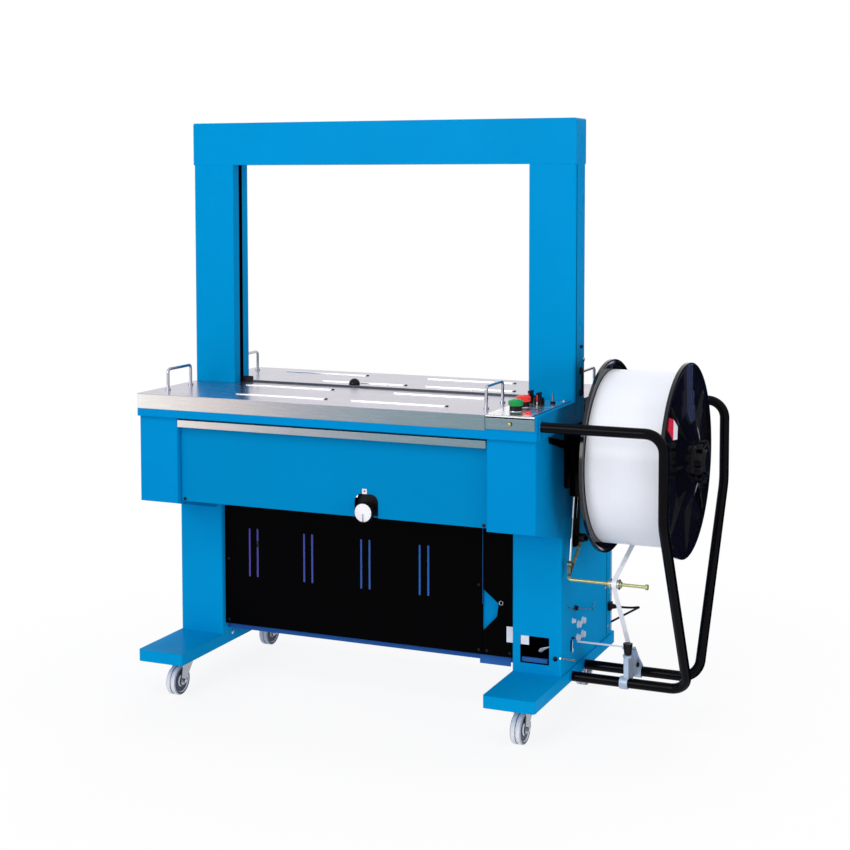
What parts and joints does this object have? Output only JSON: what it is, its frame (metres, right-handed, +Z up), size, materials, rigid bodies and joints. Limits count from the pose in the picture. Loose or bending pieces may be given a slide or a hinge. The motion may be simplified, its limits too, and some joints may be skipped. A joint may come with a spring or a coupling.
{
  "type": "arch strapping machine",
  "caption": "Free-standing automatic arch strapping machine with lift-up stainless table, control panel, side strap reel in a tube guard, and casters.",
  "frame": {"origin": "middle of the machine's footprint, reel and guard included and power cord left out, on the floor", "axes": "+X along the table towards the strap reel, +Y away from the operator, +Z up from the floor"},
  "size_m": [1.423, 0.783, 1.509],
  "materials": {
    "blue_paint": "gloss powder coat, bright blue",
    "arch_paint": "gloss powder coat, bright blue",
    "black_paint": "satin black powder coat",
    "gloss_black": "gloss black",
    "reel_black": "gloss black moulded reel flange",
    "stainless": "brushed stainless sheet",
    "chrome": "polished chrome",
    "zinc": "bright zinc plate",
    "yellow_zinc": "yellow passivated zinc",
    "steel": "machined steel",
    "machine_grey": "grey machine enamel",
    "cast_aluminium": "as-cast aluminium",
    "strap_white": "white polypropylene strap",
    "wheel_grey": "pale grey rubber tread",
    "green": "gloss green",
    "red": "gloss red",
    "black_plastic": "black moulding",
    "white_plastic": "white moulding",
    "cord_black": "black flexible cord jacket"
  },
  "bodies": {
    "frame": {"right_foot": "blue_paint", "left_foot": "blue_paint", "left_leg": "blue_paint", "right_leg": "blue_paint", "lower_rails": "blue_paint", "slotted_cover": "black_paint", "end_cover": "black_paint", "pool_box": "zinc", "body_left": "blue_paint", "body_right": "blue_paint", "body_pan": "blue_paint", "top_collar": "blue_paint", "arch_right_column": "arch_paint", "arch_left_column": "arch_paint", "arch_beam": "arch_paint", "strap_track": "black_paint", "control_panel": "blue_paint", "control_collars": "black_plastic", "head_base": "steel", "drive_motor": "machine_grey", "reel_bracket": "black_paint", "guard_tubes": "gloss_black", "guide_bracket": "cast_aluminium", "strap_run": "strap_white", "side_bolts": "chrome", "power_inlet": "black_plastic", "power_cord": "cord_black", "cord_coil": "cord_black", "cord_plug": "black_plastic"},
    "front_lid": {"front_table": "stainless", "front_handles": "chrome"},
    "rear_lid": {"rear_table": "stainless", "rear_handles": "chrome"},
    "ball": {"ball_switch": "gloss_black"},
    "door": {"front_door": "arch_paint", "door_strip": "stainless"},
    "dial": {"tension_dial": "white_plastic"},
    "start": {"start_button": "green"},
    "stop": {"stop_button": "red"},
    "selector_left": {"selector_b": "black_plastic"},
    "selector_right": {"selector_a": "black_plastic"},
    "toggle": {"toggle_lever": "chrome"},
    "cams": {"cam_shaft": "steel"},
    "reel": {"reel_flange_left": "reel_black", "reel_flange_right": "reel_black", "strap_coil": "strap_white"},
    "nut": {"reel_nut": "reel_black"},
    "brake": {"brake_lever": "black_paint"},
    "dancer": {"dancer_arm": "yellow_zinc", "brake_spring": "chrome"},
    "roller": {"dancer_roller": "zinc"},
    "knob": {"guide_knob": "black_plastic"},
    "fork_front_left": {"caster_fork_front_left": "zinc"},
    "wheel_front_left": {"caster_wheel_front_left": "wheel_grey"},
    "fork_rear_left": {"caster_fork_rear_left": "zinc"},
    "wheel_rear_left": {"caster_wheel_rear_left": "wheel_grey"},
    "fork_front_right": {"caster_fork_front_right": "zinc"},
    "wheel_front_right": {"caster_wheel_front_right": "wheel_grey"},
    "fork_rear_right": {"caster_fork_rear_right": "zinc"},
    "wheel_rear_right": {"caster_wheel_rear_right": "wheel_grey"}
  },
  "joints": [
    {"name": "front_lid_hinge", "type": "hinge", "parent": "frame", "child": "front_lid", "pos_m": [-0.1635, -0.316, 0.76815], "axis": [1, 0, 0], "range_deg": [0, 100]},
    {"name": "rear_lid_hinge", "type": "hinge", "parent": "frame", "child": "rear_lid", "pos_m": [-0.1635, 0.309, 0.76815], "axis": [-1, 0, 0], "range_deg": [0, 100]},
    {"name": "ball_switch_travel", "type": "slide", "parent": "rear_lid", "child": "ball", "axis": [0, 0, -1], "range_m": [0, 0.005], "stiffness_N_per_m": 400, "springref_m": -0.004},
    {"name": "door_hinge", "type": "hinge", "parent": "frame", "child": "door", "pos_m": [-0.1635, -0.283, 0.536], "axis": [1, 0, 0], "range_deg": [0, 90]},
    {"name": "dial_turn", "type": "hinge", "parent": "frame", "child": "dial", "pos_m": [-0.0655, -0.291, 0.545], "axis": [0, 1, 0], "range_deg": [-135, 135]},
    {"name": "start_press", "type": "slide", "parent": "frame", "child": "start", "axis": [0, 0, -1], "range_m": [0, 0.004], "stiffness_N_per_m": 500, "springref_m": -0.003},
    {"name": "stop_press", "type": "slide", "parent": "frame", "child": "stop", "axis": [0, 0, -1], "range_m": [0, 0.004], "stiffness_N_per_m": 500, "springref_m": -0.003},
    {"name": "selector_right_turn", "type": "hinge", "parent": "frame", "child": "selector_right", "pos_m": [0.3185, -0.113, 0.806], "axis": [0, 0, 1], "range_deg": [-45, 45]},
    {"name": "selector_left_turn", "type": "hinge", "parent": "frame", "child": "selector_left", "pos_m": [0.2865, -0.083, 0.806], "axis": [0, 0, 1], "range_deg": [-45, 45]},
    {"name": "toggle_tilt", "type": "hinge", "parent": "frame", "child": "toggle", "pos_m": [0.3485, -0.095, 0.8095], "axis": [1, 0, 0], "range_deg": [-15, 15]},
    {"name": "cam_spin", "type": "hinge", "parent": "frame", "child": "cams", "pos_m": [-0.1635, 0.019, 0.655], "axis": [1, 0, 0], "continuous": true},
    {"name": "reel_spin", "type": "hinge", "parent": "frame", "child": "reel", "pos_m": [-0.1635, 0.009, 0.671], "axis": [1, 0, 0], "continuous": true},
    {"name": "nut_turn", "type": "hinge", "parent": "reel", "child": "nut", "pos_m": [-0.1635, 0.009, 0.671], "axis": [1, 0, 0], "continuous": true},
    {"name": "dancer_swing", "type": "hinge", "parent": "frame", "child": "dancer", "pos_m": [0.3995, -0.015, 0.463], "axis": [1, 0, 0], "range_deg": [-10, 0], "deforming": ["brake_spring", "strap_run"]},
    {"name": "brake_swing", "type": "hinge", "parent": "frame", "child": "brake", "pos_m": [0.3965, -0.08, 0.722], "axis": [1, 0, 0], "range_deg": [-2.5, 0]},
    {"name": "roller_spin", "type": "hinge", "parent": "dancer", "child": "roller", "pos_m": [0.5195, -0.126, 0.383], "axis": [1, 0, 0], "continuous": true},
    {"name": "knob_turn", "type": "hinge", "parent": "frame", "child": "knob", "pos_m": [0.5305, -0.051, 0.19], "axis": [0, 0, 1], "continuous": true},
    {"name": "swivel_front_left", "type": "hinge", "parent": "frame", "child": "fork_front_left", "pos_m": [-0.6455, -0.213, 0.09], "axis": [0, 0, 1], "continuous": true},
    {"name": "wheel_spin_front_left", "type": "hinge", "parent": "fork_front_left", "child": "wheel_front_left", "pos_m": [-0.6455, -0.238, 0.0375], "axis": [1, 0, 0], "continuous": true},
    {"name": "swivel_rear_left", "type": "hinge", "parent": "frame", "child": "fork_rear_left", "pos_m": [-0.6455, 0.277, 0.09], "axis": [0, 0, 1], "continuous": true},
    {"name": "wheel_spin_rear_left", "type": "hinge", "parent": "fork_rear_left", "child": "wheel_rear_left", "pos_m": [-0.6455, 0.252, 0.0375], "axis": [1, 0, 0], "continuous": true},
    {"name": "swivel_front_right", "type": "hinge", "parent": "frame", "child": "fork_front_right", "pos_m": [0.3185, -0.213, 0.09], "axis": [0, 0, 1], "continuous": true},
    {"name": "wheel_spin_front_right", "type": "hinge", "parent": "fork_front_right", "child": "wheel_front_right", "pos_m": [0.3185, -0.238, 0.0375], "axis": [1, 0, 0], "continuous": true},
    {"name": "swivel_rear_right", "type": "hinge", "parent": "frame", "child": "fork_rear_right", "pos_m": [0.3185, 0.277, 0.09], "axis": [0, 0, 1], "continuous": true},
    {"name": "wheel_spin_rear_right", "type": "hinge", "parent": "fork_rear_right", "child": "wheel_rear_right", "pos_m": [0.3185, 0.252, 0.0375], "axis": [1, 0, 0], "continuous": true}
  ],
  "couplings": [
    {"joint": "brake_swing", "follows": "dancer_swing", "ratio": 0.25}
  ]
}
